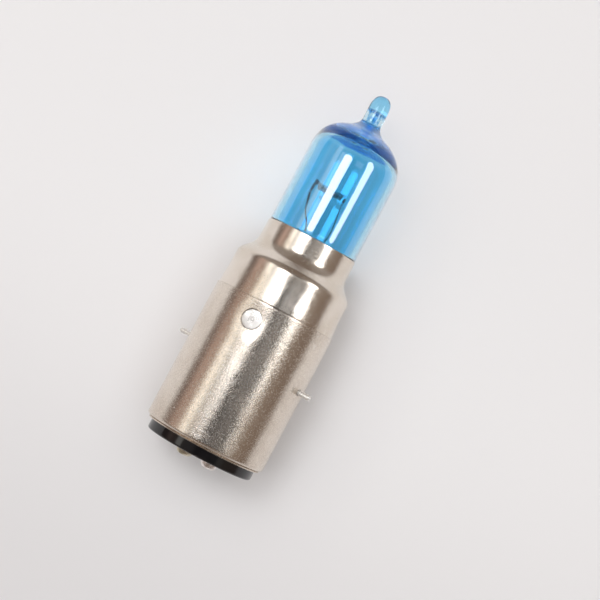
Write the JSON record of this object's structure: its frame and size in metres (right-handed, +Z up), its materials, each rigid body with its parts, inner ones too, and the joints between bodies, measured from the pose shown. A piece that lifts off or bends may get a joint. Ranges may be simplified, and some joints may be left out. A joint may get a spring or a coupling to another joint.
{
  "type": "headlight bulb",
  "caption": "Sealed headlight bulb with a blue glass envelope, twin transverse filaments and a plated bayonet base with raised solder contacts.",
  "frame": {"origin": "centre of the insulator's end face, on the bulb's axis", "axes": "+X along the bulb's axis from the base end to the glass tip; +Z up as the bulb lies on the side of its sleeve"},
  "size_m": [0.0638, 0.0231, 0.02],
  "materials": {
    "blue_glass": "polished, blue tinted",
    "nickel_plate": "bright nickel plate with fine handling scratches",
    "black_insulator": "glossy black vitrite",
    "brass_contact": "satin",
    "solder": "smooth, dull tin-lead",
    "lead_wire": "drawn molybdenum wire",
    "tungsten": "coiled tungsten, dull",
    "tail_wire": "tinned copper wire",
    "cement": "matt capping cement"
  },
  "bodies": {
    "root": {"glass_envelope": "blue_glass", "filament_high_beam": "tungsten", "filament_low_beam": "tungsten", "lead_high_beam": "lead_wire", "lead_low_beam": "lead_wire", "lead_common": "lead_wire", "common_bridge": "lead_wire", "clamp_high_beam_left": "lead_wire", "clamp_high_beam_right": "lead_wire", "clamp_low_beam_left": "lead_wire", "clamp_low_beam_right": "lead_wire", "tail_high_beam": "tail_wire", "tail_low_beam": "tail_wire", "tail_earth": "tail_wire", "earth_solder": "solder", "capping_cement": "cement", "neck_cap": "nickel_plate", "base_sleeve": "nickel_plate", "bayonet_pin_left": "nickel_plate", "bayonet_pin_right": "nickel_plate", "solder_tack_1": "solder", "solder_tack_2": "solder", "solder_tack_3": "solder", "insulator": "black_insulator", "contact_eyelet_high_beam": "brass_contact", "contact_eyelet_low_beam": "brass_contact", "contact_solder_high_beam": "solder", "contact_solder_low_beam": "solder"}
  },
  "joints": []
}
